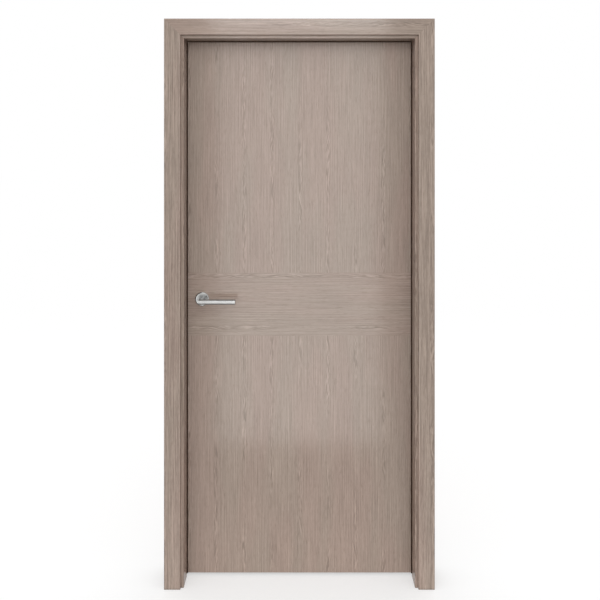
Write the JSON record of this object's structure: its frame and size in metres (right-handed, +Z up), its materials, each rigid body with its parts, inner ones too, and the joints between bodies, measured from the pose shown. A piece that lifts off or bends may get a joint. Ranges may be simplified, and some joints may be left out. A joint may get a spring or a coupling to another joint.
{
  "type": "interior door set",
  "caption": "Flush wood-veneered interior door with a level-grain middle band, in a lining with stops and mitred casings, hung on lift-off hinges and opened by a round-bar lever.",
  "frame": {"origin": "floor level, middle of the wall's thickness, on the outer face of the hinge-side jamb that is fixed to the wall", "axes": "+X out of the hinge-side jamb into the wall, across the door; +Y through the wall to the side the leaf opens to; +Z up"},
  "size_m": [1.012, 0.1815, 2.101],
  "materials": {
    "oak_veneer": "matt grey-brown veneer",
    "core_board": "raw board",
    "seal_rubber": "matt dark brown",
    "satin_steel": "satin"
  },
  "bodies": {
    "frame": {"jamb_lock_side": "oak_veneer", "jamb_hinge_side": "oak_veneer", "jamb_head": "oak_veneer", "stop_lock_side": "oak_veneer", "stop_hinge_side": "oak_veneer", "stop_head": "oak_veneer", "casing_front_lock_side": "oak_veneer", "casing_front_hinge_side": "oak_veneer", "casing_front_head": "oak_veneer", "casing_back_lock_side": "oak_veneer", "casing_back_hinge_side": "oak_veneer", "casing_back_head": "oak_veneer", "seal_lock_side": "seal_rubber", "seal_hinge_side": "seal_rubber", "seal_head": "seal_rubber", "strike_plate": "satin_steel", "hinge_top_jamb_wing": "satin_steel", "hinge_middle_jamb_wing": "satin_steel", "hinge_bottom_jamb_wing": "satin_steel"},
    "leaf": {"leaf_lock_stile": "oak_veneer", "leaf_hinge_stile": "oak_veneer", "leaf_top_rail": "oak_veneer", "leaf_bottom_rail": "oak_veneer", "leaf_core": "core_board", "face_front_upper": "oak_veneer", "face_front_band": "oak_veneer", "face_front_lower": "oak_veneer", "face_back_upper": "oak_veneer", "face_back_band": "oak_veneer", "face_back_lower": "oak_veneer", "latch_plate": "satin_steel", "latch_bolt": "satin_steel", "rose_front": "satin_steel", "rose_back": "satin_steel", "hinge_top_leaf_wing": "satin_steel", "hinge_middle_leaf_wing": "satin_steel", "hinge_bottom_leaf_wing": "satin_steel"},
    "handle": {"lever_front": "satin_steel", "lever_back": "satin_steel", "spindle": "satin_steel"}
  },
  "joints": [
    {"name": "leaf_swing", "type": "hinge", "parent": "frame", "child": "leaf", "pos_m": [-0.0275, 0.0625, 0], "axis": [0, 0, -1], "range_deg": [0, 170]},
    {"name": "lever_turn", "type": "hinge", "parent": "leaf", "child": "handle", "pos_m": [-0.8275, 0, 1.046], "axis": [0, 1, 0], "range_deg": [0, 40], "stiffness_Nm_per_rad": 1.2, "springref_deg": -34.38}
  ]
}
